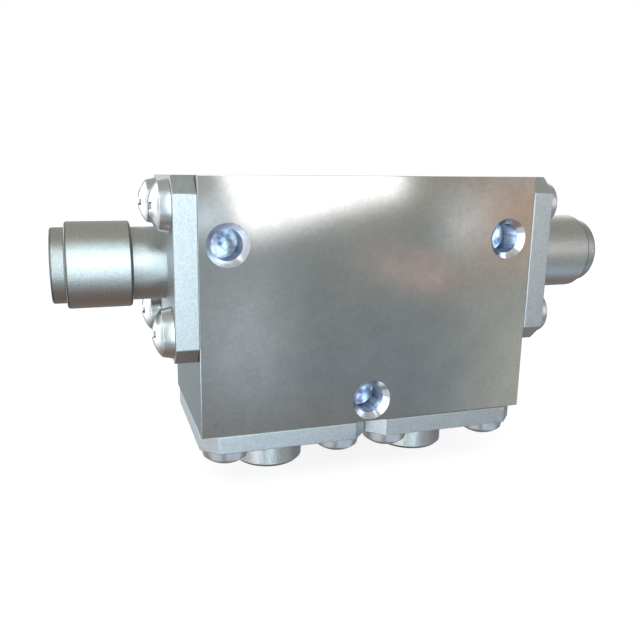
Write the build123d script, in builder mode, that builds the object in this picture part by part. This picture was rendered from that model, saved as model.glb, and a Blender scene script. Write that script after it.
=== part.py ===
"""Two-stage coaxial RF isolator.

A milled metal block carries a coaxial jack on a square four-screw flange at each end, and two
terminating loads side by side underneath. Inside are two ferrite junctions in round cavities,
each closed by a lid at the back, joined by one flat centre conductor.

Millimetres. X runs from the left jack to the right one, Y from the drilled front face to the
back, Z up. The origin is on the plane of the load caps' ends, midway between them.
"""
import os
from math import cos, radians, tan

from build123d import *

os.makedirs("parts", exist_ok=True)

# Square flange of the jacks and the loads
flange_side = 12.7
flange_corner = 1.2
flange_overhang = 0.1
jack_flange_thickness = 1.6
load_flange_thickness = 1.3

# Body block, as wide as the two load flanges and a little thinner than one
body_width = 2 * flange_side
body_depth = flange_side - 2 * flange_overhang
body_height = 17.9
body_edge = 0.12

# Pan-head screws, drawn with few flat sides because the part has sixteen of them
screw_head_sides = 16
screw_shank_sides = 8
screw_inset = 2.03
screw_radius = 0.8
screw_length = 4.5
screw_head_radius = 1.8
screw_head_side = 0.75
screw_head_height = 1.38
screw_head_flat = 0.95
screw_hole_run_out = 0.5
screw_clearance = 0.1

# Mounting holes in the front face
mount_hole_radius = 1.1
mount_countersink_radius = 1.5
mount_hole_depth = 2.3
mount_countersink_angle = 90
drill_point_angle = 118
mount_hole_from_side = 2.0
mount_hole_from_top = 4.55
mount_hole_land = 0.14

# Jack
neck_radius = 2.65
neck_length = 2.35
barrel_radius = 3.1
barrel_length = 4.5
mating_bore_radius = 2.3
mating_bore_depth = 1.95
lip_wall = 0.4
lip_length = 1.0
lip_edge = 0.18
insulator_radius = 2.05
contact_radius = 0.635
socket_radius = 0.47
socket_depth = 2.8
socket_slot_width = 0.15
socket_slot_depth = 2.3
pin_slot_depth = 0.9
jack_pin_length = 2.2

# Load
load_cap_radius = 2.8
load_cap_length = 3.2
load_cap_edge = 0.25
load_end_wall = 0.8
bead_thickness = 1.2
resistor_radius = 1.0
load_pin_gap = 0.55

# Ferrite junctions
junction_radius = 3.2
port_bore_radius = 1.45
ferrite_sides = 6
ferrite_thickness = 1.6
pole_thickness = 0.5
magnet_gap = 0.2
magnet_thickness = 2.2
lid_slot_length = 4.4
lid_slot_width = 0.8
lid_slot_depth = 0.6

# Centre conductor
strip_thickness = 0.2
strip_width = 1.0
disc_radius = 1.5
strip_end_gap = 0.05

# Radial play of every round fit
fit_gap = 0.03

# Places that follow from the sizes
body_bottom = load_cap_length + load_flange_thickness
body_top = body_bottom + body_height
front_face = -body_depth / 2
back_face = body_depth / 2
jack_axis = body_top - flange_side / 2
load_axis = flange_side / 2
screw_spacing = flange_side - 2 * screw_inset
neck_end = jack_flange_thickness + neck_length
barrel_end = neck_end + barrel_length
lip_radius = mating_bore_radius + lip_wall
jack_end = barrel_end + lip_length
insulator_end = jack_end - mating_bore_depth
load_end = load_flange_thickness + load_cap_length
load_floor = load_end - load_end_wall
ferrite_outside = strip_thickness / 2 + ferrite_thickness
pole_outside = ferrite_outside + pole_thickness
stack_outside = pole_outside + magnet_thickness
lid_thickness = back_face - stack_outside

# Each port's plane lies on the body's face, with its Z axis pointing out of the body
left_port = Plane(origin=(-body_width / 2, 0, jack_axis), x_dir=(0, -1, 0), z_dir=(-1, 0, 0))
right_port = Plane(origin=(body_width / 2, 0, jack_axis), x_dir=(0, 1, 0), z_dir=(1, 0, 0))
left_load_port = Plane(origin=(-load_axis, 0, body_bottom), x_dir=(1, 0, 0), z_dir=(0, 0, -1))
right_load_port = Plane(origin=(load_axis, 0, body_bottom), x_dir=(1, 0, 0), z_dir=(0, 0, -1))


def section_of(port):
    """Plane through the port's axis: X runs outwards along the axis, Y is the radius."""
    return Plane(origin=port.origin, x_dir=port.z_dir, z_dir=port.y_dir)


def axis_of(port):
    return Axis(port.origin, port.z_dir)


def save(part, name):
    part.label = name
    export_step(part, f"parts/{name}.step")


# Body: one milled block, bored through from end to end along the jacks' axis and upwards
# from each load, with a round cavity from the back for each junction
with BuildPart() as body:
    with Locations((0, 0, body_bottom)):
        Box(body_width, body_depth, body_height, align=(Align.CENTER, Align.CENTER, Align.MIN))
    upright_edges = body.edges().filter_by(Axis.Z)
    top_edges = body.faces().sort_by(Axis.Z)[-1].edges()
    chamfer(upright_edges + top_edges, body_edge)

    with Locations(right_port):
        Cylinder(port_bore_radius, 2 * body_width, mode=Mode.SUBTRACT)
    for port in (left_load_port, right_load_port):
        with BuildSketch(port):
            Circle(port_bore_radius)
        extrude(amount=-(jack_axis - body_bottom), mode=Mode.SUBTRACT)

    with BuildSketch(Plane.XZ.offset(-back_face)):
        with Locations((-load_axis, jack_axis), (load_axis, jack_axis)):
            Circle(junction_radius)
    extrude(amount=back_face + stack_outside, mode=Mode.SUBTRACT)

    for port, flange_thickness in (
        (left_port, jack_flange_thickness),
        (right_port, jack_flange_thickness),
        (left_load_port, load_flange_thickness),
        (right_load_port, load_flange_thickness),
    ):
        with BuildSketch(port):
            with GridLocations(screw_spacing, screw_spacing, 2, 2):
                RegularPolygon(screw_radius + fit_gap, screw_shank_sides)
        tapped_depth = screw_length - flange_thickness + screw_hole_run_out
        extrude(amount=-tapped_depth, mode=Mode.SUBTRACT)

    for x, z in (
        (-body_width / 2 + mount_hole_from_side, body_top - mount_hole_from_top),
        (body_width / 2 - mount_hole_from_side, body_top - mount_hole_from_top),
        (0, body_bottom + mount_hole_land + mount_countersink_radius),
    ):
        with Locations(Plane(origin=(x, front_face, z), x_dir=(1, 0, 0), z_dir=(0, -1, 0))):
            CounterSinkHole(
                mount_hole_radius,
                mount_countersink_radius,
                mount_hole_depth,
                mount_countersink_angle,
            )
        drill_point = mount_hole_radius / tan(radians(drill_point_angle / 2))
        hole_end = front_face + mount_hole_depth
        with Locations(Plane(origin=(x, hole_end, z), x_dir=(1, 0, 0), z_dir=(0, 1, 0))):
            Cone(
                mount_hole_radius,
                0,
                drill_point,
                align=(Align.CENTER, Align.CENTER, Align.MIN),
                mode=Mode.SUBTRACT,
            )
save(body.part, "body")


# Jacks: flange, neck, barrel and lip are turned and milled from one bar
def jack_shell(port):
    with BuildPart() as shell:
        with BuildSketch(port):
            Rectangle(flange_side, flange_side)
            chamfer(vertices(), flange_corner)
        extrude(amount=jack_flange_thickness)
        with BuildSketch(section_of(port)):
            with BuildLine():
                Polyline(
                    (0, 0),
                    (0, neck_radius),
                    (neck_end, neck_radius),
                    (neck_end, barrel_radius),
                    (barrel_end, barrel_radius),
                    (barrel_end, lip_radius),
                    (jack_end - lip_edge, lip_radius),
                    (jack_end, lip_radius - lip_edge),
                    (jack_end, 0),
                    close=True,
                )
            make_face()
        revolve(axis=axis_of(port))
        with BuildSketch(section_of(port)):
            with BuildLine():
                Polyline(
                    (0, 0),
                    (0, insulator_radius),
                    (insulator_end, insulator_radius),
                    (insulator_end, mating_bore_radius),
                    (jack_end, mating_bore_radius),
                    (jack_end, 0),
                    close=True,
                )
            make_face()
        revolve(axis=axis_of(port), mode=Mode.SUBTRACT)
        with BuildSketch(port):
            with GridLocations(screw_spacing, screw_spacing, 2, 2):
                RegularPolygon(screw_radius + screw_clearance, screw_shank_sides)
        extrude(amount=jack_flange_thickness, mode=Mode.SUBTRACT)
    return shell.part


# Insulator: a turned plastic sleeve, held between the shell and the body's face
def jack_insulator(port):
    with BuildPart() as sleeve:
        with BuildSketch(port):
            Circle(insulator_radius - fit_gap)
            Circle(contact_radius + fit_gap, mode=Mode.SUBTRACT)
        extrude(amount=insulator_end)
    return sleeve.part


# Contact: a turned pin with a slotted socket outside and a slot for the conductor inside
def jack_contact(port):
    with BuildPart() as contact:
        with BuildSketch(port.offset(-jack_pin_length)):
            Circle(contact_radius)
        extrude(amount=jack_pin_length + insulator_end)
        with BuildSketch(port.offset(insulator_end)):
            Circle(socket_radius)
        extrude(amount=-socket_depth, mode=Mode.SUBTRACT)
        with BuildSketch(port.offset(insulator_end)):
            Rectangle(3 * contact_radius, socket_slot_width, rotation=45)
            Rectangle(3 * contact_radius, socket_slot_width, rotation=-45)
        extrude(amount=-socket_slot_depth, mode=Mode.SUBTRACT)
        with BuildSketch(port.offset(-jack_pin_length)):
            Rectangle(strip_thickness, 3 * contact_radius)
        extrude(amount=pin_slot_depth, mode=Mode.SUBTRACT)
    return contact.part


# Loads: flange and cap are turned and milled from one bar, hollow inside
def load_shell(port):
    with BuildPart() as shell:
        with BuildSketch(port):
            Rectangle(flange_side, flange_side)
            chamfer(vertices(), flange_corner)
        extrude(amount=load_flange_thickness)
        with BuildSketch(section_of(port)):
            with BuildLine():
                Polyline(
                    (0, 0),
                    (0, load_cap_radius),
                    (load_end - load_cap_edge, load_cap_radius),
                    (load_end, load_cap_radius - load_cap_edge),
                    (load_end, 0),
                    close=True,
                )
            make_face()
        revolve(axis=axis_of(port))
        with BuildSketch(section_of(port)):
            with BuildLine():
                Polyline(
                    (0, 0),
                    (0, insulator_radius),
                    (load_floor, insulator_radius),
                    (load_floor, 0),
                    close=True,
                )
            make_face()
        revolve(axis=axis_of(port), mode=Mode.SUBTRACT)
        with BuildSketch(port):
            with GridLocations(screw_spacing, screw_spacing, 2, 2):
                RegularPolygon(screw_radius + screw_clearance, screw_shank_sides)
        extrude(amount=load_flange_thickness, mode=Mode.SUBTRACT)
    return shell.part


# Bead: the plastic disc that centres the load's pin
def load_bead(port):
    with BuildPart() as bead:
        with BuildSketch(port):
            Circle(insulator_radius - fit_gap)
            Circle(contact_radius + fit_gap, mode=Mode.SUBTRACT)
        extrude(amount=bead_thickness)
    return bead.part


# Load pin: a straight pin from the resistor to the conductor, slotted at its inner end
def load_pin(port):
    pin_tip = jack_axis - body_bottom - junction_radius - load_pin_gap
    with BuildPart() as pin:
        with BuildSketch(port.offset(-pin_tip)):
            Circle(contact_radius)
        extrude(amount=pin_tip + bead_thickness)
        with BuildSketch(port.offset(-pin_tip)):
            Rectangle(3 * contact_radius, strip_thickness)
        extrude(amount=pin_slot_depth, mode=Mode.SUBTRACT)
    return pin.part


# Resistor: a film rod clamped between the pin and the end wall of the cap
def load_resistor(port):
    with BuildPart() as rod:
        with BuildSketch(port.offset(bead_thickness)):
            Circle(resistor_radius)
        extrude(amount=load_floor - bead_thickness)
    return rod.part


# Screw: a small pan head on a plain shank, with its seat at the origin
with BuildPart() as pan_head_screw:
    with BuildSketch():
        RegularPolygon(screw_radius, screw_shank_sides)
    extrude(amount=-screw_length)
    with BuildSketch():
        RegularPolygon(screw_head_radius, screw_head_sides)
    extrude(amount=screw_head_height)
    crown = faces().sort_by(Axis.Z)[-1]
    crown_height = screw_head_height - screw_head_side
    chamfer(crown.edges(), screw_head_radius - screw_head_flat, crown_height, reference=crown)


# Four of them hold each flange
def flange_screws(port, flange_thickness):
    with BuildPart() as screws:
        with Locations(port.offset(flange_thickness)):
            with GridLocations(screw_spacing, screw_spacing, 2, 2):
                add(pan_head_screw.part)
    return screws.part


for side, port in (("left", left_port), ("right", right_port)):
    save(jack_shell(port), f"{side}_jack_shell")
    save(jack_insulator(port), f"{side}_jack_insulator")
    save(jack_contact(port), f"{side}_jack_contact")
    save(flange_screws(port, jack_flange_thickness), f"{side}_jack_screws")

for side, port in (("left", left_load_port), ("right", right_load_port)):
    save(load_shell(port), f"{side}_load_shell")
    save(load_bead(port), f"{side}_load_bead")
    save(load_pin(port), f"{side}_load_pin")
    save(load_resistor(port), f"{side}_load_resistor")
    save(flange_screws(port, load_flange_thickness), f"{side}_load_screws")

# Centre conductor: one etched sheet with a disc in each junction and three legs at 120
# degrees to each disc, bent into line with the ports
leg_knee = (junction_radius + disc_radius) / 2 * cos(radians(30))
knee_rise = leg_knee * tan(radians(30))
jack_leg_end = body_width / 2 - jack_pin_length + pin_slot_depth - strip_end_gap
load_leg_end = jack_axis - junction_radius - load_pin_gap - pin_slot_depth + strip_end_gap
with BuildPart() as conductor:
    with BuildSketch(Plane.XZ):
        for side in (-1, 1):
            centre = (side * load_axis, jack_axis)
            outer_knee = (side * (load_axis + leg_knee), jack_axis + knee_rise)
            outer_bend = (side * (load_axis + junction_radius), jack_axis)
            inner_knee = (side * (load_axis - leg_knee), jack_axis + knee_rise)
            inner_bend = (side * (load_axis - junction_radius), jack_axis)
            with Locations(centre):
                Circle(disc_radius)
            for route in (
                (centre, outer_knee, outer_bend, (side * jack_leg_end, jack_axis)),
                (centre, inner_knee, inner_bend, (0, jack_axis)),
                (centre, (side * load_axis, load_leg_end)),
            ):
                with BuildLine():
                    Polyline(*route)
                trace(line_width=strip_width)
    extrude(amount=strip_thickness / 2, both=True)
save(conductor.part, "centre_conductor")


# Junction stacks: a six-sided ferrite, a pole plate and a magnet lie on each side of the
# conductor. A stack's plane lies on the conductor's middle, its Z axis pointing at its magnet.
def ferrite(stack):
    with BuildPart() as prism:
        with BuildSketch(stack.offset(strip_thickness / 2)):
            RegularPolygon(junction_radius - fit_gap, ferrite_sides)
        extrude(amount=ferrite_thickness)
    return prism.part


def pole_plate(stack):
    with BuildPart() as plate:
        with BuildSketch(stack.offset(ferrite_outside)):
            Circle(junction_radius - fit_gap)
        extrude(amount=pole_thickness)
    return plate.part


def magnet(stack):
    with BuildPart() as disc:
        with BuildSketch(stack.offset(pole_outside)):
            Circle(junction_radius - magnet_gap)
        extrude(amount=magnet_thickness)
    return disc.part


# Lid: a round cover screwed into the mouth of the cavity, flush with the back
def cavity_lid(stack):
    with BuildPart() as lid:
        with BuildSketch(stack.offset(stack_outside)):
            Circle(junction_radius - fit_gap)
        extrude(amount=lid_thickness)
        with BuildSketch(stack.offset(back_face)):
            Rectangle(lid_slot_length, lid_slot_width)
        extrude(amount=-lid_slot_depth, mode=Mode.SUBTRACT)
    return lid.part


for side, centre_x in (("left", -load_axis), ("right", load_axis)):
    front_stack = Plane(origin=(centre_x, 0, jack_axis), x_dir=(1, 0, 0), z_dir=(0, -1, 0))
    back_stack = Plane(origin=(centre_x, 0, jack_axis), x_dir=(1, 0, 0), z_dir=(0, 1, 0))
    for place, stack in (("front", front_stack), ("back", back_stack)):
        save(ferrite(stack), f"{side}_{place}_ferrite")
        save(pole_plate(stack), f"{side}_{place}_pole")
        save(magnet(stack), f"{side}_{place}_magnet")
    save(cavity_lid(back_stack), f"{side}_lid")
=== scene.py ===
"""The two-stage coaxial isolator as it looks finished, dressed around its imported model.

X runs from the left jack to the right one, Y from the drilled front face to the back, Z up.
A mesh is drawn in millimetres in its own frame and scaled when it is placed.
"""
import math

import bmesh
import bpy
from mathutils import Matrix, Vector


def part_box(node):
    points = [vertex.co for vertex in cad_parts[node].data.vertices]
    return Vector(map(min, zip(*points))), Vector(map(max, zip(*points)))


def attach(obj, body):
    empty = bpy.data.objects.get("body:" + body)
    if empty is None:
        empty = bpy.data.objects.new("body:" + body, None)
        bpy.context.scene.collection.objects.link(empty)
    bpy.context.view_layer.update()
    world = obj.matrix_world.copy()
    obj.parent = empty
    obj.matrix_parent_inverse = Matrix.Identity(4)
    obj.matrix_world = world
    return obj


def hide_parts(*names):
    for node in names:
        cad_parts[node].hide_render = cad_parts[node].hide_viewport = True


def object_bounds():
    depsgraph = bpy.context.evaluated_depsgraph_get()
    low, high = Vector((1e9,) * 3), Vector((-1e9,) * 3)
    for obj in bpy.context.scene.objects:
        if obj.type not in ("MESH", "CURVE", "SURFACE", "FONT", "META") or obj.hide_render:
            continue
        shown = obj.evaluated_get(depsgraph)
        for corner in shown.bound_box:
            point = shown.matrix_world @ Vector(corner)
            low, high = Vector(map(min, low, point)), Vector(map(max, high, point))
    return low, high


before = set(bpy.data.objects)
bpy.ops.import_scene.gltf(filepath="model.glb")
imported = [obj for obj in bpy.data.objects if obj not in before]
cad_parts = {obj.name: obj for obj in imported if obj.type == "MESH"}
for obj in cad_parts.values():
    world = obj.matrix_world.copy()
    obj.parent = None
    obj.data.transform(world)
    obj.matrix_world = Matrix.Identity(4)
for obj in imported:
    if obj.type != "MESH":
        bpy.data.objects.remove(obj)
cad_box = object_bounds()
scene = bpy.context.scene
scene.view_settings.view_transform = "Standard"
mm = 0.001


# Camera
# It stands in front of the left jack, level with the top of the body, and looks a little to
# the right and down. The frame is shifted as the photograph's is.
def in_scene(name, data):
    """A new object in the scene, made of a mesh, a lamp or a camera."""
    made = bpy.data.objects.new(name, data)
    scene.collection.objects.link(made)
    return made


eye = Vector((-19.342, -47.723, 22.398)) * mm
turn_right = math.radians(16.46)
tilt_down = math.radians(11.63)
roll = math.radians(0.345)
focal_length = 36.135
sensor_width = 36
frame_shift = (0.0618, -0.0194)
forward = Vector(
    (
        math.sin(turn_right) * math.cos(tilt_down),
        math.cos(turn_right) * math.cos(tilt_down),
        -math.sin(tilt_down),
    )
)
level_right = Vector((math.cos(turn_right), -math.sin(turn_right), 0))
level_up = level_right.cross(forward)
camera_right = level_right * math.cos(roll) + level_up * math.sin(roll)
camera_up = level_up * math.cos(roll) - level_right * math.sin(roll)
camera = in_scene("camera", bpy.data.cameras.new("camera"))
camera.matrix_world = Matrix.Translation(eye) @ Matrix(
    (camera_right, camera_up, -forward)
).transposed().to_4x4()
camera.data.lens = focal_length
camera.data.sensor_width = sensor_width
camera.data.shift_x, camera.data.shift_y = frame_shift
camera.data.clip_start = 1 * mm
scene.camera = camera


# Floor and surroundings
# A plain pale floor under a white surround. Both are plain white to the camera, and the floor
# still takes the soft shadow of the object.
def linear(colour):
    """Linear RGBA of an sRGB hex colour."""
    channels = [int(colour[i : i + 2], 16) / 255 for i in (1, 3, 5)]
    return [c / 12.92 if c <= 0.04045 else ((c + 0.055) / 1.055) ** 2.4 for c in channels] + [1]


def add_node(tree, kind, inputs=(), **settings):
    """Add a node. The inputs are pairs of a socket's name or number and its value or link."""
    node = tree.nodes.new(kind)
    for setting, value in settings.items():
        setattr(node, setting, value)
    for socket, value in inputs:
        if isinstance(value, bpy.types.NodeSocket):
            tree.links.new(value, node.inputs[socket])
        else:
            node.inputs[socket].default_value = value
    return node


def seen_directly(tree):
    """1 for rays of the camera and for what gloss and glass show of the surroundings."""
    path = add_node(tree, "ShaderNodeLightPath")
    seen = path.outputs["Is Camera Ray"]
    for ray in ("Is Glossy Ray", "Is Transmission Ray"):
        either = add_node(
            tree, "ShaderNodeMath", [(0, seen), (1, path.outputs[ray])], operation="MAXIMUM"
        )
        seen = either.outputs[0]
    return seen


def empty_material(name):
    """A material with no nodes yet but its output."""
    material = bpy.data.materials.new(name)
    material.use_nodes = True
    material.node_tree.nodes.clear()
    return material, material.node_tree, add_node(material.node_tree, "ShaderNodeOutputMaterial")


def rectangle(half_width, half_depth):
    """Corners of a rectangle about the origin."""
    return [
        (-half_width, -half_depth),
        (half_width, -half_depth),
        (half_width, half_depth),
        (-half_width, half_depth),
    ]


surround_light = 0.72
surround = bpy.data.worlds.new("white surround")
surround.use_nodes = True
sky = surround.node_tree
sky.nodes.clear()
sky_level = add_node(
    sky,
    "ShaderNodeMapRange",
    [("Value", seen_directly(sky)), ("To Min", surround_light), ("To Max", 1)],
)
sky_white = add_node(
    sky,
    "ShaderNodeBackground",
    [("Color", linear("#ffffff")), ("Strength", sky_level.outputs[0])],
)
add_node(sky, "ShaderNodeOutputWorld", [("Surface", sky_white.outputs[0])])
scene.world = surround

# The grey paint takes the shadow, and a glow that lights nothing else lifts it to white.
floor_reach = 1500 * mm
floor_drop = 0.02 * mm
floor_lift = 0.85
floor_height = cad_box[0].z - floor_drop
floor_mesh = bpy.data.meshes.new("floor")
floor_mesh.from_pydata(
    [(x, y, floor_height) for x, y in rectangle(floor_reach, floor_reach)], [], [(0, 1, 2, 3)]
)
floor = in_scene("floor", floor_mesh)
floor_paint, tree, out = empty_material("matt pale floor paint")
floor_matt = add_node(tree, "ShaderNodeBsdfDiffuse", [("Color", linear("#909090"))])
floor_glow_level = add_node(
    tree,
    "ShaderNodeMath",
    [(0, seen_directly(tree)), (1, floor_lift)],
    operation="MULTIPLY",
)
floor_glow = add_node(tree, "ShaderNodeEmission", [("Strength", floor_glow_level.outputs[0])])
floor_sum = add_node(
    tree, "ShaderNodeAddShader", [(0, floor_matt.outputs[0]), (1, floor_glow.outputs[0])]
)
tree.links.new(floor_sum.outputs[0], out.inputs["Surface"])
floor_mesh.materials.append(floor_paint)

softbox_light = bpy.data.lights.new("softbox", "AREA")
softbox_light.shape = "RECTANGLE"
softbox_light.size = 300 * mm
softbox_light.size_y = 400 * mm
softbox_light.energy = 1.1
softbox = in_scene("softbox", softbox_light)
softbox.location = (-250 * mm, -350 * mm, 500 * mm)
softbox.rotation_euler = (-softbox.location).to_track_quat("-Z", "Y").to_euler()
softbox.visible_glossy = False


# What the metal reflects
# A round cloth tent hung about the object, with paler and darker cloths inside it, seen in
# reflections and nowhere else. Bare metal shows only what stands round it, so the place, the
# colour and the strength of each follow what the metal shows in the photograph.
def seen_in_metal_only(stage_piece):
    """Keep a stage piece out of everything but reflections."""
    stage_piece.visible_camera = False
    stage_piece.visible_diffuse = False
    stage_piece.visible_transmission = False
    stage_piece.visible_volume_scatter = False
    stage_piece.visible_shadow = False


def mesh_of(shape, name, *materials):
    """The mesh of a form that is built, with its materials."""
    mesh = bpy.data.meshes.new(name)
    shape.to_mesh(mesh)
    shape.free()
    for material in materials:
        mesh.materials.append(material)
    return mesh


# The lower half of the tent stands for the floor in reflections.
floor.visible_glossy = False
tent_middle = (cad_box[0] + cad_box[1]) / 2
tent_radius = 300 * mm
tent_cloth, tree, out = empty_material("tent cloth")
place = add_node(tree, "ShaderNodeTexCoord")
outwards = add_node(
    tree,
    "ShaderNodeVectorMath",
    [(0, place.outputs["Object"]), (1, tent_middle)],
    operation="SUBTRACT",
)
unit = add_node(tree, "ShaderNodeVectorMath", [(0, outwards.outputs[0])], operation="NORMALIZE")
height = add_node(tree, "ShaderNodeSeparateXYZ", [(0, unit.outputs[0])])
height_share = add_node(
    tree,
    "ShaderNodeMapRange",
    [("Value", height.outputs["Z"]), ("From Min", -1), ("From Max", 1)],
)
clouds = add_node(
    tree,
    "ShaderNodeTexNoise",
    [("Vector", unit.outputs[0]), ("Scale", 3.2), ("Detail", 3), ("Roughness", 0.5)],
)
cloud_shift = add_node(
    tree,
    "ShaderNodeMapRange",
    [
        ("Value", clouds.outputs["Fac"]),
        ("From Min", 0.3),
        ("From Max", 0.7),
        ("To Min", -0.06),
        ("To Max", 0.06),
    ],
)
cloudy_height = add_node(
    tree, "ShaderNodeMath", [(0, height_share.outputs[0]), (1, cloud_shift.outputs[0])]
)
tent_shade = add_node(tree, "ShaderNodeValToRGB", [("Fac", cloudy_height.outputs[0])])
tent_stops = (
    (0.0, "#8c7c71"),
    (0.22, "#9a928c"),
    (0.34, "#9ba7ae"),
    (0.46, "#a4aba9"),
    (0.56, "#c4bdb0"),
    (0.75, "#b8b8ac"),
    (1.0, "#bcbcb2"),
)
shade_ramp = tent_shade.color_ramp
shade_ramp.elements[0].position, shade_ramp.elements[0].color = 0, linear(tent_stops[0][1])
shade_ramp.elements[1].position, shade_ramp.elements[1].color = 1, linear(tent_stops[-1][1])
for position, colour in tent_stops[1:-1]:
    shade_ramp.elements.new(position).color = linear(colour)
tent_glow = add_node(tree, "ShaderNodeEmission", [("Color", tent_shade.outputs[0])])
tree.links.new(tent_glow.outputs[0], out.inputs["Surface"])
shape = bmesh.new()
bmesh.ops.create_icosphere(shape, subdivisions=5, radius=tent_radius)
bmesh.ops.translate(shape, verts=shape.verts, vec=tent_middle)
tent = in_scene("tent", mesh_of(shape, "tent", tent_cloth))
seen_in_metal_only(tent)


def hang_cloth(name, azimuth, elevation, width, height, colour, strength, edge=0.25, lean=0):
    """Hang a soft-edged cloth along the tent's wall. All angles are degrees seen from the
    object: azimuth from straight ahead to the right, elevation from level, and the lean."""
    cloth_radius = 0.9 * tent_radius
    steps = 16
    turn = (
        Matrix.Rotation(math.radians(azimuth), 3, "Z")
        @ Matrix.Rotation(math.radians(-elevation), 3, "X")
        @ Matrix.Rotation(math.radians(lean), 3, "Y")
    )
    shares = [i / steps for i in range(steps + 1)]
    shape = bmesh.new()
    grid = []
    for up in shares:
        rise = Matrix.Rotation(math.radians((0.5 - up) * height), 3, "X")
        row = []
        for along in shares:
            swing = Matrix.Rotation(math.radians((along - 0.5) * width), 3, "Z")
            spot = turn @ swing @ rise @ Vector((0, -cloth_radius, 0))
            row.append(shape.verts.new(tent_middle + spot))
        grid.append(row)
    cloth_map = shape.loops.layers.uv.new("cloth")
    for j in range(steps):
        for i in range(steps):
            corners = ((i, j), (i + 1, j), (i + 1, j + 1), (i, j + 1))
            face = shape.faces.new([grid[down][across] for across, down in corners])
            for loop, (across, down) in zip(face.loops, corners):
                loop[cloth_map].uv = (shares[across], shares[down])
    material, tree, out = empty_material(name)
    place = add_node(tree, "ShaderNodeTexCoord")
    across = add_node(tree, "ShaderNodeSeparateXYZ", [(0, place.outputs["UV"])])
    cover = 1
    for side in ("X", "Y"):
        from_edge = add_node(
            tree,
            "ShaderNodeMath",
            [(0, across.outputs[side]), (1, 0.5)],
            operation="PINGPONG",
        )
        soft = add_node(
            tree,
            "ShaderNodeMapRange",
            [("Value", from_edge.outputs[0]), ("From Max", edge)],
            interpolation_type="SMOOTHSTEP",
        )
        both = add_node(
            tree, "ShaderNodeMath", [(0, cover), (1, soft.outputs[0])], operation="MULTIPLY"
        )
        cover = both.outputs[0]
    glow = add_node(
        tree, "ShaderNodeEmission", [("Color", linear(colour)), ("Strength", strength)]
    )
    clear = add_node(tree, "ShaderNodeBsdfTransparent")
    mix = add_node(
        tree, "ShaderNodeMixShader", [("Fac", cover), (1, clear.outputs[0]), (2, glow.outputs[0])]
    )
    tree.links.new(mix.outputs[0], out.inputs["Surface"])
    cloth = in_scene(name, mesh_of(shape, name, material))
    seen_in_metal_only(cloth)


hang_cloth("window", 14.3, 14.4, 19.4, 36, "#ffffff", 3.0, edge=0.09, lean=-17)
hang_cloth("window_side", 7.4, -1.8, 7, 7, "#dcecf8", 1.65, edge=0.5)
hang_cloth("left_window", -4.6, 14, 17, 108, "#dcf6ff", 5.7, edge=0.22)
hang_cloth("warm_cloth", 40, -2, 18, 14, "#ecccb4", 0.93, edge=0.4)
hang_cloth("warm_glow", 34.2, -2, 11, 10, "#f2f7fa", 1.2, edge=0.5)
hang_cloth("warm_patch", 29, -7, 18, 7, "#ccbab4", 1.15, edge=0.5, lean=10)
hang_cloth("right_window", 41, 14, 14, 30, "#e6eefa", 1.4, edge=0.4)
hang_cloth("left_low_cloth", 10.8, -13.5, 15, 26, "#cfd9df", 0.98, edge=0.5)
hang_cloth("right_low_cloth", 42, -16, 24, 36, "#c6c8c0", 1.15, edge=0.45)
hang_cloth("low_cloth", 18, -45, 52, 36, "#dcecff", 0.86)
hang_cloth("low_side_window", -38, -20, 20, 22, "#e2faff", 6, edge=0.45)
hang_cloth("low_left_cloth", -64, -45, 66, 34, "#e4f0f8", 0.95, edge=0.3)
hang_cloth("low_right_cloth", 60, -45, 44, 34, "#dcecff", 1.0, edge=0.3)
hang_cloth("side_window", -52.5, 14, 29, 88, "#f4fbff", 3.4, edge=0.12)
hang_cloth("left_cloth", -86, -4, 42, 90, "#eef2f0", 0.9)
hang_cloth("right_edge_window", 61, 6, 11, 44, "#f4f8ff", 2.4, edge=0.35)
hang_cloth("right_cloth", 92, 0, 42, 90, "#9494a2", 1.0)
hang_cloth("back_window", 146, 12, 68, 60, "#ffffff", 1.5)
hang_cloth("back_left_cloth", -125, 6, 66, 80, "#f4faff", 2.4)


# Body
# The housing is milled from one bar of aluminium, drilled and tapped, and nickel-plated. The
# faces are flat with broken edges, and the plating clouds what they reflect.
def round_corners(corners, steps=5):
    """Points of an outline whose corners (x, y, radius) are rounded by tangent arcs."""
    outline = []
    for i, (x, y, radius) in enumerate(corners):
        corner = Vector((x, y))
        if radius == 0:
            outline.append(corner)
            continue
        before = (Vector(corners[i - 1][:2]) - corner).normalized()
        after = (Vector(corners[(i + 1) % len(corners)][:2]) - corner).normalized()
        half_angle = before.angle(after) / 2
        centre = corner + (before + after).normalized() * radius / math.sin(half_angle)
        start = corner + before * radius / math.tan(half_angle) - centre
        turn = start.angle_signed(corner + after * radius / math.tan(half_angle) - centre)
        for step in range(steps + 1):
            outline.append(centre + Matrix.Rotation(-turn * step / steps, 2) @ start)
    return outline


def turned(profile, material, sides=96):
    """Mesh of a closed profile of points (along, out) turned about the Z axis. Its first and
    last points lie on the axis."""
    shape = bmesh.new()
    rings = []
    for along, out in profile:
        if out == 0:
            rings.append([shape.verts.new((0, 0, along))] * sides)
            continue
        spots = [2 * math.pi * i / sides for i in range(sides)]
        rings.append(
            [shape.verts.new((out * math.cos(a), out * math.sin(a), along)) for a in spots]
        )
    for low, high in zip(rings, rings[1:]):
        for i in range(sides):
            j = (i + 1) % sides
            loop = list(dict.fromkeys((low[i], low[j], high[j], high[i])))
            shape.faces.new(loop)
    bmesh.ops.recalc_face_normals(shape, faces=shape.faces)
    return mesh_of(shape, "turned", material)


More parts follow.
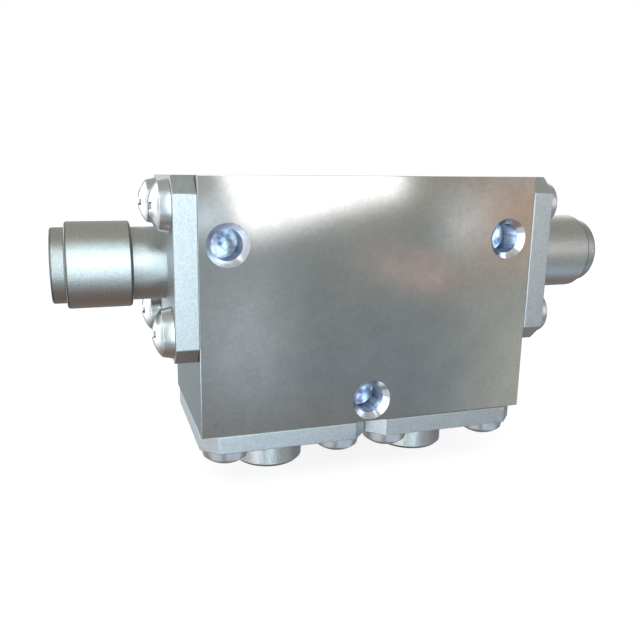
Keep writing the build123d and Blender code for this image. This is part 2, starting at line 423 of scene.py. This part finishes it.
def plate(outline, low, high, edge, material, edge_steps=3):
    """Mesh of a flat outline raised from low to high, with its edges rounded."""
    shape = bmesh.new()
    base = shape.faces.new([shape.verts.new((x, y, low)) for x, y in outline])
    raised = bmesh.ops.extrude_face_region(shape, geom=[base])["geom"]
    corners = [item for item in raised if isinstance(item, bmesh.types.BMVert)]
    bmesh.ops.translate(shape, verts=corners, vec=(0, 0, high - low))
    bmesh.ops.recalc_face_normals(shape, faces=shape.faces)
    if edge:
        bmesh.ops.bevel(
            shape,
            geom=shape.edges,
            offset=edge,
            segments=edge_steps,
            profile=0.5,
            affect="EDGES",
            clamp_overlap=True,
        )
    return mesh_of(shape, "plate", material)


def combined(first, second, operation):
    """Mesh of the first form with the second one joined to it or cut from it."""
    form = in_scene("form", first)
    tool = in_scene("tool", second)
    step = form.modifiers.new("step", "BOOLEAN")
    step.operation = operation
    step.solver = "EXACT"
    step.material_mode = "TRANSFER"
    step.object = tool
    made = bpy.data.meshes.new_from_object(
        form.evaluated_get(bpy.context.evaluated_depsgraph_get())
    )
    bpy.data.objects.remove(form)
    bpy.data.objects.remove(tool)
    bpy.data.meshes.remove(first)
    bpy.data.meshes.remove(second)
    return made


def placed(mesh, where):
    """A copy of the mesh, moved by a matrix."""
    copy = mesh.copy()
    copy.transform(where)
    return copy


smooth_below = math.radians(33)


def show(name, mesh, node):
    """Finish a mesh that is already in place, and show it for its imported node."""
    mesh.name = name
    mesh.shade_smooth()
    mesh.set_sharp_from_angle(angle=smooth_below)
    piece = in_scene(name, mesh)
    weighting = piece.modifiers.new("flat faces stay flat", "WEIGHTED_NORMAL")
    weighting.keep_sharp = True
    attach(piece, "root")
    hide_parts(node)


def show_each(ports, form, piece, node):
    """Show the form at its left and its right port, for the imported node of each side."""
    for side, port in ports.items():
        shown = placed(form, Matrix.Scale(mm, 4) @ port)
        show(f"{side}_{piece}", shown, f"{side}_{node}")
    bpy.data.meshes.remove(form)


def per(size):
    """Texture scale at which a pattern repeats about every so many millimetres."""
    return 1 / (size * mm)


def metal(name):
    """A material that is bare metal, with the nodes that the finishes add to."""
    material, tree, out = empty_material(name)
    surface = add_node(tree, "ShaderNodeBsdfPrincipled", [("Metallic", 1)])
    tree.links.new(surface.outputs[0], out.inputs["Surface"])
    place = add_node(tree, "ShaderNodeTexCoord")
    return material, tree, surface, place.outputs["Object"]


# Satin nickel is a soft mirror. It clouds in wide patches where the plating took unevenly and in
# a finer mottle that the milled metal leaves under it, over the faintest relief of its grain.
cloud_size = 2.2
mottle_size = 0.3
grain_size = 0.14
nickel_on_aluminium, tree, surface, place = metal("satin nickel on aluminium")
clouding = add_node(
    tree,
    "ShaderNodeTexNoise",
    [("Vector", place), ("Scale", per(cloud_size)), ("Detail", 6), ("Roughness", 0.66)],
)
mottle = add_node(
    tree,
    "ShaderNodeTexNoise",
    [("Vector", place), ("Scale", per(mottle_size)), ("Detail", 3), ("Roughness", 0.7)],
)
uneven = add_node(
    tree,
    "ShaderNodeMix",
    [("Factor", 0.4), (2, clouding.outputs["Fac"]), (3, mottle.outputs["Fac"])],
)
tint = add_node(
    tree,
    "ShaderNodeMix",
    [("Factor", uneven.outputs[0]), (6, linear("#9b9ea1")), (7, linear("#d8d6d2"))],
    data_type="RGBA",
)
tree.links.new(tint.outputs[2], surface.inputs["Base Color"])
gloss = add_node(
    tree,
    "ShaderNodeMapRange",
    [
        ("Value", clouding.outputs["Fac"]),
        ("From Min", 0.3),
        ("From Max", 0.7),
        ("To Min", 0.12),
        ("To Max", 0.08),
    ],
)
tree.links.new(gloss.outputs[0], surface.inputs["Roughness"])
grain = add_node(
    tree, "ShaderNodeTexNoise", [("Vector", place), ("Scale", per(grain_size)), ("Detail", 1)]
)
relief = add_node(
    tree,
    "ShaderNodeBump",
    [("Strength", 0.04), ("Distance", 0.002 * mm), ("Height", grain.outputs["Fac"])],
)
tree.links.new(relief.outputs[0], surface.inputs["Normal"])

# The drilled holes keep the drill's fine rings and streaks along the wall under the same
# plating, drawn coarser than they are so that they show. The countersinks are cut smoother.
drill_ring = 0.22
stretch_along_wall = 20


def drilled_nickel(name, dark, light, roughness, chatter_size, mark_depth):
    """Nickel over drill marks, whose size and depth are in millimetres."""
    material, tree, surface, place = metal(name)
    surface.inputs["Roughness"].default_value = roughness
    depth = add_node(tree, "ShaderNodeSeparateXYZ", [(0, place)])
    drawn_out = add_node(
        tree,
        "ShaderNodeVectorMath",
        [(0, place), (1, (1, 1 / stretch_along_wall, 1))],
        operation="MULTIPLY",
    )
    rings = add_node(
        tree,
        "ShaderNodeTexNoise",
        [("W", depth.outputs["Y"]), ("Scale", per(drill_ring)), ("Detail", 2)],
        noise_dimensions="1D",
    )
    chatter = add_node(
        tree,
        "ShaderNodeTexNoise",
        [("Vector", drawn_out.outputs[0]), ("Scale", per(chatter_size)), ("Detail", 2)],
    )
    marks = add_node(
        tree,
        "ShaderNodeMix",
        [("Factor", 0.85), (2, rings.outputs["Fac"]), (3, chatter.outputs["Fac"])],
    )
    stain = add_node(
        tree,
        "ShaderNodeMapRange",
        [("Value", marks.outputs[0]), ("From Min", 0.35), ("From Max", 0.6)],
    )
    tint = add_node(
        tree,
        "ShaderNodeMix",
        [("Factor", stain.outputs[0]), (6, linear(dark)), (7, linear(light))],
        data_type="RGBA",
    )
    tree.links.new(tint.outputs[2], surface.inputs["Base Color"])
    relief = add_node(
        tree,
        "ShaderNodeBump",
        [("Strength", 1), ("Distance", mark_depth * mm), ("Height", marks.outputs[0])],
    )
    tree.links.new(relief.outputs[0], surface.inputs["Normal"])
    return material


plated_drilling = drilled_nickel(
    "nickel in drilled holes", "#a4b4d2", "#ffffff", 0.32, chatter_size=0.3, mark_depth=0.022
)
plated_point = drilled_nickel(
    "nickel on the drill points", "#52607c", "#d4e2f2", 0.28, chatter_size=0.8, mark_depth=0.01
)
plated_countersink = drilled_nickel(
    "nickel in countersinks", "#cfcfd8", "#e2e2ea", 0.2, chatter_size=0.4, mark_depth=0.002
)

body_low, body_high = (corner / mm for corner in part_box("body"))
jack_low, jack_high = (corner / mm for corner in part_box("right_jack_shell"))
load_low, load_high = (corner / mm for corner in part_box("right_load_shell"))
body_width = body_high.x - body_low.x
body_edge = 0.035
flange_side = jack_high.z - jack_low.z
jack_axis = (jack_low.z + jack_high.z) / 2
load_axis = (load_low.x + load_high.x) / 2
jack_flange = 1.6
load_flange = 1.3
hole_spacing = 8.64
thread_radius = 0.83
screw_length = 4.5
tapped_beyond = 0.5
mount_radius = 1.1
mount_sink = 1.5
mount_depth = 2.3
mount_side = 2.0
mount_top = 4.55
mount_bottom = 1.64
drill_point = 118
cavity_radius = 3.2
cavity_front = -4.4
port_bore = 1.45
beyond = 1.0


def port_frame(origin, out, across):
    """Matrix of a frame on the body's face, with Z pointing out of the body."""
    turn = Matrix((across, out.cross(across), out)).transposed().to_4x4()
    return Matrix.Translation(origin) @ turn


rightwards, backwards, upwards = Vector((1, 0, 0)), Vector((0, 1, 0)), Vector((0, 0, 1))
jack_ports = {
    "left": port_frame((body_low.x, 0, jack_axis), -rightwards, -backwards),
    "right": port_frame((body_high.x, 0, jack_axis), rightwards, backwards),
}
load_ports = {
    "left": port_frame((-load_axis, 0, body_low.z), -upwards, rightwards),
    "right": port_frame((load_axis, 0, body_low.z), -upwards, rightwards),
}
cavity_ports = {
    "left": port_frame((-load_axis, body_high.y, jack_axis), backwards, rightwards),
    "right": port_frame((load_axis, body_high.y, jack_axis), backwards, rightwards),
}
screw_spots = [
    Vector((x * hole_spacing / 2, y * hole_spacing / 2, 0)) for x in (-1, 1) for y in (-1, 1)
]

body_form = plate(
    rectangle(body_width / 2, body_high.y),
    body_low.z,
    body_high.z,
    body_edge,
    nickel_on_aluminium,
)


def drill(form, tool, where):
    """The form with a placed copy of the tool cut from it."""
    return combined(form, placed(tool, where), "DIFFERENCE")


def rod(radius, start, end, material, sides=64):
    """A plain round bar along the Z axis."""
    return turned([(start, 0), (start, radius), (end, radius), (end, 0)], material, sides)


rim_round = 0.06
point_length = mount_radius / math.tan(math.radians(drill_point / 2))
sink_outline = round_corners(
    [
        (mount_radius - mount_sink, 0, 0),
        (mount_radius - mount_sink, mount_radius, 0),
        (0, mount_sink, rim_round),
        (beyond, mount_sink, 0),
        (beyond, 0, 0),
    ]
)
sink_tool = turned(sink_outline, plated_countersink)
mount_tool = turned(
    [
        (-mount_depth - point_length, 0),
        (-mount_depth, mount_radius),
        (beyond, mount_radius),
        (beyond, 0),
    ],
    plated_drilling,
)
mount_tool.materials.append(plated_point)
for face in mount_tool.polygons:
    if face.center.z < -mount_depth:
        face.material_index = 1
for x, z in (
    (body_low.x + mount_side, body_high.z - mount_top),
    (body_high.x - mount_side, body_high.z - mount_top),
    (0, body_low.z + mount_bottom),
):
    spot = port_frame((x, body_low.y, z), -backwards, rightwards)
    body_form = drill(body_form, mount_tool, spot)
    body_form = drill(body_form, sink_tool, spot)

through_tool = rod(port_bore, -body_width - beyond, beyond, plated_drilling)
body_form = drill(body_form, through_tool, jack_ports["right"])
rise_tool = rod(port_bore, body_low.z - jack_axis, beyond, plated_drilling)
cavity_tool = rod(cavity_radius, cavity_front - body_high.y, beyond, plated_drilling, sides=96)
for side in ("left", "right"):
    body_form = drill(body_form, rise_tool, load_ports[side])
    body_form = drill(body_form, cavity_tool, cavity_ports[side])
for ports, flange in ((jack_ports, jack_flange), (load_ports, load_flange)):
    tap_tool = rod(
        thread_radius, flange - screw_length - tapped_beyond, beyond, plated_drilling, sides=24
    )
    for port in ports.values():
        for spot in screw_spots:
            body_form = drill(body_form, tap_tool, port @ Matrix.Translation(spot))
body_form.transform(Matrix.Scale(mm, 4))
show("body_block", body_form, "body")


# Jacks
# Each is turned from one bar of stainless steel: a square flange, blasted matt, and a barrel
# with a stepped neck and lip that keeps its fine turning lines. The mouth is bored out.
def square(side, corner):
    """Outline of a square whose corners are cut off."""
    half = side / 2
    cut = half - corner
    return [
        (half, -cut), (half, cut), (cut, half), (-cut, half),
        (-half, cut), (-half, -cut), (-cut, -half), (cut, -half),
    ]


# Blasting with fine beads pits the steel all over, so that it has an even grey sheen and no
# mirror. The pits are drawn coarser than they are so that they show.
blast_grain = 0.1
blasted_steel, tree, surface, place = metal("bead-blasted stainless steel")
pits = add_node(
    tree,
    "ShaderNodeTexNoise",
    [("Vector", place), ("Scale", per(blast_grain)), ("Detail", 2), ("Roughness", 0.7)],
)
pit_tint = add_node(
    tree,
    "ShaderNodeMix",
    [("Factor", pits.outputs["Fac"]), (6, linear("#919598")), (7, linear("#d7dce0"))],
    data_type="RGBA",
)
tree.links.new(pit_tint.outputs[2], surface.inputs["Base Color"])
surface.inputs["Roughness"].default_value = 0.42
relief = add_node(
    tree,
    "ShaderNodeBump",
    [("Strength", 0.6), ("Distance", 0.03 * mm), ("Height", pits.outputs["Fac"])],
)
tree.links.new(relief.outputs[0], surface.inputs["Normal"])


# The lathe leaves rings along the axis, drawn a little coarser than the real feed so that they
# show, over a fine grain. The rounded edges get painted shade and look darker.
def turned_steel(name, axis, roughness, painted_edge_shade_share):
    material, tree, surface, place = metal(name)
    ring_pitch = 0.11
    fine_grain = 0.08
    along = add_node(tree, "ShaderNodeSeparateXYZ", [(0, place)])
    rings = add_node(
        tree,
        "ShaderNodeTexNoise",
        [("W", along.outputs[axis]), ("Scale", per(ring_pitch)), ("Detail", 1)],
        noise_dimensions="1D",
    )
    specks = add_node(
        tree,
        "ShaderNodeTexNoise",
        [("Vector", place), ("Scale", per(fine_grain)), ("Detail", 2)],
    )
    marks = add_node(
        tree,
        "ShaderNodeMix",
        [("Factor", 0.85), (2, rings.outputs["Fac"]), (3, specks.outputs["Fac"])],
    )
    tint = add_node(
        tree,
        "ShaderNodeMix",
        [("Factor", marks.outputs[0]), (6, linear("#8c8d8d")), (7, linear("#dbdcdb"))],
        data_type="RGBA",
    )
    facing = add_node(tree, "ShaderNodeTexCoord")
    lean_of_face = add_node(tree, "ShaderNodeSeparateXYZ", [(0, facing.outputs["Normal"])])
    either_way = add_node(
        tree, "ShaderNodeMath", [(0, lean_of_face.outputs[axis])], operation="ABSOLUTE"
    )
    rounded = add_node(
        tree, "ShaderNodeMath", [(0, either_way.outputs[0]), (1, 0.5)], operation="PINGPONG"
    )
    # Painted shade: faces that lean partly along the axis, the rounded edges, are darkened.
    painted_edge_shade = add_node(
        tree,
        "ShaderNodeMapRange",
        [
            ("Value", rounded.outputs[0]),
            ("From Min", 0.05),
            ("From Max", 0.3),
            ("To Max", painted_edge_shade_share),
        ],
    )
    edge_tint = add_node(
        tree,
        "ShaderNodeMix",
        [("Factor", painted_edge_shade.outputs[0]), (6, tint.outputs[2]), (7, linear("#2f2f30"))],
        data_type="RGBA",
    )
    tree.links.new(edge_tint.outputs[2], surface.inputs["Base Color"])
    surface.inputs["Roughness"].default_value = roughness
    relief = add_node(
        tree,
        "ShaderNodeBump",
        [("Strength", 0.7), ("Distance", 0.03 * mm), ("Height", marks.outputs[0])],
    )
    tree.links.new(relief.outputs[0], surface.inputs["Normal"])
    return material


steel_turned_along_x = turned_steel("turned stainless steel of the jacks", "X", 0.33, 0.75)
flange_corner = 1.2
flange_edge = 0.07
sunk = 0.5
neck_radius = 2.65
neck_length = 2.35
barrel_radius = 3.1
barrel_length = 4.5
lip_radius = 2.7
step_round = 0.2
inner_round = 0.06
mouth_radius = 2.3
mouth_depth = 1.95
sleeve_radius = 2.05
clearance_radius = 0.9
jack_end = jack_high.x - body_high.x
neck_end = jack_flange + neck_length
barrel_end = neck_end + barrel_length

clearance_tool = rod(clearance_radius, -beyond, jack_flange + beyond, blasted_steel, sides=48)


def flanged(flange, outline, bore_tool, steel):
    """The square flange with what is turned on it, bored out and drilled for its screws."""
    form = plate(square(flange_side, flange_corner), 0, flange, flange_edge, blasted_steel)
    form = combined(form, turned(outline, steel), "UNION")
    form = combined(form, bore_tool, "DIFFERENCE")
    for spot in screw_spots:
        form = drill(form, clearance_tool, Matrix.Translation(spot))
    return form


barrel_outline = round_corners(
    [
        (jack_flange - sunk, 0, 0),
        (jack_flange - sunk, neck_radius, 0),
        (neck_end, neck_radius, inner_round),
        (neck_end, barrel_radius, step_round),
        (barrel_end, barrel_radius, step_round),
        (barrel_end, lip_radius, inner_round),
        (jack_end, lip_radius, step_round),
        (jack_end, 0, 0),
    ]
)
bore_outline = round_corners(
    [
        (-beyond, 0, 0),
        (-beyond, sleeve_radius, 0),
        (jack_end - mouth_depth, sleeve_radius, 0),
        (jack_end - mouth_depth, mouth_radius, 0),
        (jack_end, mouth_radius, inner_round),
        (jack_end, mouth_radius + inner_round, 0),
        (jack_end + beyond, mouth_radius + inner_round, 0),
        (jack_end + beyond, 0, 0),
    ]
)
jack_form = flanged(
    jack_flange, barrel_outline, turned(bore_outline, steel_turned_along_x), steel_turned_along_x
)
show_each(jack_ports, jack_form, "jack", "jack_shell")


# Loads
# The same square flange and a short round cap, turned from one bar of stainless steel. The cap
# closes the terminating resistor in, and the end on which the part stands has a small chamfer.
steel_turned_along_z = turned_steel("turned stainless steel of the loads", "Z", 0.35, 0.25)
cap_radius = 2.8
cap_chamfer = 0.25
cap_edge = 0.04
end_wall = 0.8
cap_end = body_low.z - load_low.z
cap_outline = round_corners(
    [
        (load_flange - sunk, 0, 0),
        (load_flange - sunk, cap_radius, 0),
        (cap_end - cap_chamfer, cap_radius, cap_edge),
        (cap_end, cap_radius - cap_chamfer, cap_edge),
        (cap_end, 0, 0),
    ]
)
load_form = flanged(
    load_flange,
    cap_outline,
    rod(sleeve_radius, -beyond, cap_end - end_wall, steel_turned_along_z),
    steel_turned_along_z,
)
show_each(load_ports, load_form, "load", "load_shell")


# Screws
# Cold-headed stainless pan heads with a cross recess, four to a flange. The heads are bright,
# with a low crown over a slightly tapered side. No two on a flange stop at the same angle.
head_grain = 0.2
bright_steel, tree, surface, place = metal("bright stainless steel")
surface.inputs["Base Color"].default_value = linear("#ced0d1")
waves = add_node(
    tree, "ShaderNodeTexNoise", [("Vector", place), ("Scale", per(head_grain)), ("Detail", 2)]
)
polish = add_node(
    tree,
    "ShaderNodeMapRange",
    [("Value", waves.outputs["Fac"]), ("To Min", 0.26), ("To Max", 0.34)],
)
tree.links.new(polish.outputs[0], surface.inputs["Roughness"])
relief = add_node(
    tree,
    "ShaderNodeBump",
    [("Strength", 0.1), ("Distance", 0.004 * mm), ("Height", waves.outputs["Fac"])],
)
tree.links.new(relief.outputs[0], surface.inputs["Normal"])

# The punch leaves the recess walls rougher than the head, and they are painted darker as shade.
recess_shade_steel, tree, surface, place = metal("stainless steel with painted recess shade")
# Painted shade for the inside of the recess.
surface.inputs["Base Color"].default_value = linear("#84868a")
surface.inputs["Roughness"].default_value = 0.4
scale_marks = add_node(
    tree, "ShaderNodeTexNoise", [("Vector", place), ("Scale", per(head_grain)), ("Detail", 2)]
)
relief = add_node(
    tree,
    "ShaderNodeBump",
    [("Strength", 0.5), ("Distance", 0.02 * mm), ("Height", scale_marks.outputs["Fac"])],
)
tree.links.new(relief.outputs[0], surface.inputs["Normal"])

head_radius = 1.8
head_side = 0.75
head_height = 1.38
head_round = 0.08
head_draft = 0.16
shank_radius = 0.8
shank_point = 0.3
recess_width = 0.54
recess_length = 2.15
recess_depth = 0.75
recess_taper = 0.65
punch_clear = 0.1
crown_steps = 9


def crown(side_height, top_height, radius, steps):
    """Points of a low crown, from its rim to its top, as an arc of one circle."""
    rise = top_height - side_height
    crown_radius = (radius**2 + rise**2) / (2 * rise)
    widest = math.asin(radius / crown_radius)
    points = []
    for step in range(steps + 1):
        angle = widest * (1 - step / steps)
        points.append(
            (
                top_height - crown_radius * (1 - math.cos(angle)),
                crown_radius * math.sin(angle),
            )
        )
    return points


def cross(width, length, scale):
    """Outline of a cross with equal arms, shrunk by the scale."""
    a, b = scale * width / 2, scale * length / 2
    return [
        (b, -a), (b, a), (a, a), (a, b), (-a, b), (-a, a),
        (-b, a), (-b, -a), (-a, -a), (-a, -b), (a, -b), (a, -a),
    ]


crown_points = crown(head_side, head_height, head_radius - head_draft, crown_steps)
head_outline = round_corners(
    [
        (-screw_length, 0, 0),
        (-screw_length, shank_radius - shank_point, 0),
        (shank_point - screw_length, shank_radius, 0),
        (0, shank_radius, 0),
        (0, head_radius, head_round / 2),
        (head_side, head_radius - head_draft, head_round),
        (*crown_points[1], 0),
    ]
) + crown_points[2:]
screw_form = turned(head_outline, bright_steel, sides=64)
recess = bmesh.new()
recess_top = head_height + punch_clear
rims = [
    [recess.verts.new((x, y, height)) for x, y in cross(recess_width, recess_length, scale)]
    for height, scale in ((recess_top, 1.0), (recess_top - recess_depth, recess_taper))
]
recess.faces.new(rims[0])
recess.faces.new(rims[1])
for i in range(len(rims[0])):
    recess.faces.new((rims[0][i - 1], rims[0][i], rims[1][i], rims[1][i - 1]))
bmesh.ops.recalc_face_normals(recess, faces=recess.faces)
screw_form = combined(screw_form, mesh_of(recess, "recess", recess_shade_steel), "DIFFERENCE")

screw_turns = (4, 86, 11, 95)
for ports, flange, kind in ((jack_ports, jack_flange, "jack"), (load_ports, load_flange, "load")):
    for side, port in ports.items():
        group = bmesh.new()
        for spot, turn in zip(screw_spots, screw_turns):
            seat = Matrix.Translation(spot + Vector((0, 0, flange)))
            copy = placed(
                screw_form,
                Matrix.Scale(mm, 4) @ port @ seat @ Matrix.Rotation(math.radians(turn), 4, "Z"),
            )
            group.from_mesh(copy)
            bpy.data.meshes.remove(copy)
        screws = mesh_of(group, "screws", bright_steel, recess_shade_steel)
        show(f"{side}_{kind}_screw_set", screws, f"{side}_{kind}_screws")
bpy.data.meshes.remove(screw_form)


# Lids
# A round plated steel cover closes each junction's cavity at the back. It is faced on the
# lathe, screwed in flush by its straight slot, and its rim and slot have broken edges.
lid_side = 3.17
lid_thickness = 1.85
lid_edge = 0.14
lid_round = 0.04
lid_slot_length = 4.4
lid_slot_width = 0.8
lid_slot_depth = 0.6
slot_edge = 0.05
facing_pitch = 0.13


def faced_steel(name, centre):
    """Plated steel with the rings that facing leaves round an axis along Y."""
    material, tree, surface, place = metal(name)
    from_axis = add_node(
        tree, "ShaderNodeVectorMath", [(0, place), (1, centre)], operation="SUBTRACT"
    )
    flat = add_node(
        tree,
        "ShaderNodeVectorMath",
        [(0, from_axis.outputs[0]), (1, (1, 0, 1))],
        operation="MULTIPLY",
    )
    radius = add_node(tree, "ShaderNodeVectorMath", [(0, flat.outputs[0])], operation="LENGTH")
    rings = add_node(
        tree,
        "ShaderNodeTexNoise",
        [("W", radius.outputs["Value"]), ("Scale", per(facing_pitch)), ("Detail", 1)],
        noise_dimensions="1D",
    )
    tint = add_node(
        tree,
        "ShaderNodeMix",
        [("Factor", rings.outputs["Fac"]), (6, linear("#8d8d8c")), (7, linear("#c3c2bf"))],
        data_type="RGBA",
    )
    tree.links.new(tint.outputs[2], surface.inputs["Base Color"])
    polish = add_node(
        tree,
        "ShaderNodeMapRange",
        [("Value", rings.outputs["Fac"]), ("To Min", 0.24), ("To Max", 0.36)],
    )
    tree.links.new(polish.outputs[0], surface.inputs["Roughness"])
    relief = add_node(
        tree,
        "ShaderNodeBump",
        [("Strength", 0.8), ("Distance", 0.02 * mm), ("Height", rings.outputs["Fac"])],
    )
    tree.links.new(relief.outputs[0], surface.inputs["Normal"])
    return material


lid_outline = round_corners(
    [
        (-lid_thickness, 0, 0),
        (-lid_thickness, lid_side - lid_edge, 0),
        (lid_edge - lid_thickness, lid_side, 0),
        (-lid_edge, lid_side, lid_round),
        (0, lid_side - lid_edge, lid_round),
        (0, 0, 0),
    ]
)
for side, port in cavity_ports.items():
    lid_steel = faced_steel(f"plated steel of the {side} lid", port.translation * mm)
    slot_tool = plate(
        rectangle(lid_slot_length / 2, lid_slot_width / 2),
        -lid_slot_depth,
        beyond,
        slot_edge,
        lid_steel,
        edge_steps=2,
    )
    lid_form = combined(turned(lid_outline, lid_steel), slot_tool, "DIFFERENCE")
    lid_form.transform(Matrix.Scale(mm, 4) @ port)
    show(f"{side}_cavity_lid", lid_form, f"{side}_lid")


# Insulators
# White fluoropolymer sleeves and beads, turned to size, that hold the contacts on the axis.
# The plastic is milky and a little waxy, with faint tool marks on its faces.
fluoropolymer, tree, out = empty_material("white fluoropolymer")
place = add_node(tree, "ShaderNodeTexCoord").outputs["Object"]
waxy_patch = 0.9
tool_mark = 0.1
milk = add_node(
    tree, "ShaderNodeTexNoise", [("Vector", place), ("Scale", per(waxy_patch)), ("Detail", 3)]
)
shade = add_node(
    tree,
    "ShaderNodeMix",
    [("Factor", milk.outputs["Fac"]), (6, linear("#e4e1d9")), (7, linear("#f3f1eb"))],
    data_type="RGBA",
)
tool_marks = add_node(
    tree, "ShaderNodeTexNoise", [("Vector", place), ("Scale", per(tool_mark)), ("Detail", 1)]
)
relief = add_node(
    tree,
    "ShaderNodeBump",
    [("Strength", 0.4), ("Distance", 0.01 * mm), ("Height", tool_marks.outputs["Fac"])],
)
surface = add_node(
    tree,
    "ShaderNodeBsdfPrincipled",
    [
        ("Base Color", shade.outputs[2]),
        ("Roughness", 0.45),
        ("IOR", 1.35),
        ("Subsurface Weight", 0.2),
        ("Subsurface Scale", 0.3 * mm),
        ("Normal", relief.outputs[0]),
    ],
)
tree.links.new(surface.outputs[0], out.inputs["Surface"])

insulator_radius = 2.02
contact_hole = 0.665
insulator_end = jack_end - mouth_depth
insulator_edge = 0.08
sleeve_form = turned(
    round_corners(
        [
            (0, 0, 0),
            (0, insulator_radius, 0),
            (insulator_end, insulator_radius, insulator_edge),
            (insulator_end, 0, 0),
        ]
    ),
    fluoropolymer,
    sides=64,
)
sleeve_form = combined(
    sleeve_form, rod(contact_hole, -beyond, insulator_end + beyond, fluoropolymer), "DIFFERENCE"
)
show_each(jack_ports, sleeve_form, "insulator_sleeve", "jack_insulator")


def finish_cad(material, *nodes):
    """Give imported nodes, whose shape stays as it is, their finish."""
    for node in nodes:
        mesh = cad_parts[node].data
        mesh.materials.clear()
        mesh.materials.append(material)


finish_cad(fluoropolymer, "left_load_bead", "right_load_bead")


# Contacts
# Turned beryllium copper under hard gold. The jack's contact ends in a socket whose four
# fingers part at fine slots, and its inner end grips the centre conductor.
turning_mark = 0.08
hard_gold, tree, surface, place = metal("hard gold on beryllium copper")
surface.inputs["Roughness"].default_value = 0.22
turning = add_node(
    tree, "ShaderNodeTexNoise", [("Vector", place), ("Scale", per(turning_mark)), ("Detail", 2)]
)
tint = add_node(
    tree,
    "ShaderNodeMix",
    [("Factor", turning.outputs["Fac"]), (6, linear("#d9ab55")), (7, linear("#edc87f"))],
    data_type="RGBA",
)
tree.links.new(tint.outputs[2], surface.inputs["Base Color"])
relief = add_node(
    tree,
    "ShaderNodeBump",
    [("Strength", 0.5), ("Distance", 0.005 * mm), ("Height", turning.outputs["Fac"])],
)
tree.links.new(relief.outputs[0], surface.inputs["Normal"])

contact_radius = 0.635
socket_radius = 0.47
socket_depth = 2.8
finger_slot = 0.15
finger_depth = 2.3
contact_inner = 2.2
tail_slot = 0.2
tail_depth = 0.9
tip_round = 0.07
contact_form = turned(
    round_corners(
        [
            (-contact_inner, 0, 0),
            (-contact_inner, contact_radius, 0),
            (insulator_end, contact_radius, tip_round),
            (insulator_end, socket_radius, tip_round),
            (insulator_end - socket_depth, socket_radius, 0),
            (insulator_end - socket_depth, 0, 0),
        ]
    ),
    hard_gold,
    sides=48,
)


def slot_cutter(width, low, high, angle):
    """A slab that cuts a slot right across a contact, turned about its axis."""
    slab = plate(
        rectangle(2 * contact_radius, width / 2), low, high, edge=0, material=hard_gold
    )
    slab.transform(Matrix.Rotation(math.radians(angle), 4, "Z"))
    return slab


for angle in (45, -45):
    fingers = slot_cutter(
        finger_slot, insulator_end - finger_depth, insulator_end + beyond, angle
    )
    contact_form = combined(contact_form, fingers, "DIFFERENCE")
tail = slot_cutter(tail_slot, -contact_inner - beyond, tail_depth - contact_inner, 90)
contact_form = combined(contact_form, tail, "DIFFERENCE")
show_each(jack_ports, contact_form, "contact", "jack_contact")
finish_cad(hard_gold, "left_load_pin", "right_load_pin")


# Junctions
# In each cavity two ground ferrite blocks sandwich the copper conductor. A ground steel pole
# plate and a nickel-plated magnet press on each. None of it shows once the lids are in.
def speckled(name, dark, light, grain, metallic, roughness):
    """A ground surface whose grain shows as a mottle of two close tones."""
    material, tree, out = empty_material(name)
    place = add_node(tree, "ShaderNodeTexCoord")
    mottle = add_node(
        tree,
        "ShaderNodeTexNoise",
        [("Vector", place.outputs["Object"]), ("Scale", per(grain)), ("Detail", 3)],
    )
    shade = add_node(
        tree,
        "ShaderNodeMix",
        [("Factor", mottle.outputs["Fac"]), (6, linear(dark)), (7, linear(light))],
        data_type="RGBA",
    )
    relief = add_node(
        tree,
        "ShaderNodeBump",
        [("Strength", 0.4), ("Distance", 0.01 * mm), ("Height", mottle.outputs["Fac"])],
    )
    surface = add_node(
        tree,
        "ShaderNodeBsdfPrincipled",
        [
            ("Base Color", shade.outputs[2]),
            ("Metallic", metallic),
            ("Roughness", roughness),
            ("Normal", relief.outputs[0]),
        ],
    )
    tree.links.new(surface.outputs[0], out.inputs["Surface"])
    return material


ground_ferrite = speckled("ground ferrite", "#28272a", "#3c3b3d", 0.25, 0, 0.5)
plated_magnet = speckled("nickel-plated magnet", "#9d9a94", "#b7b4ad", 0.5, 1, 0.3)
ground_steel = speckled("ground steel of the poles", "#85868a", "#a2a3a4", 0.2, 1, 0.35)
etched_copper = speckled("etched copper alloy", "#b57f50", "#cf9a6a", 0.4, 1, 0.32)
for side in ("left", "right"):
    for face in ("front", "back"):
        finish_cad(ground_ferrite, f"{side}_{face}_ferrite")
        finish_cad(ground_steel, f"{side}_{face}_pole")
        finish_cad(plated_magnet, f"{side}_{face}_magnet")
finish_cad(etched_copper, "centre_conductor")


# Resistors
# A ceramic rod in each load carries the film that soaks up the reflected power. The film is
# fired on, so it is matt and slightly uneven.
fired_film = speckled("resistive film on ceramic", "#6f6c68", "#8d8a84", 0.3, 0, 0.6)
finish_cad(fired_film, "left_load_resistor", "right_load_resistor")
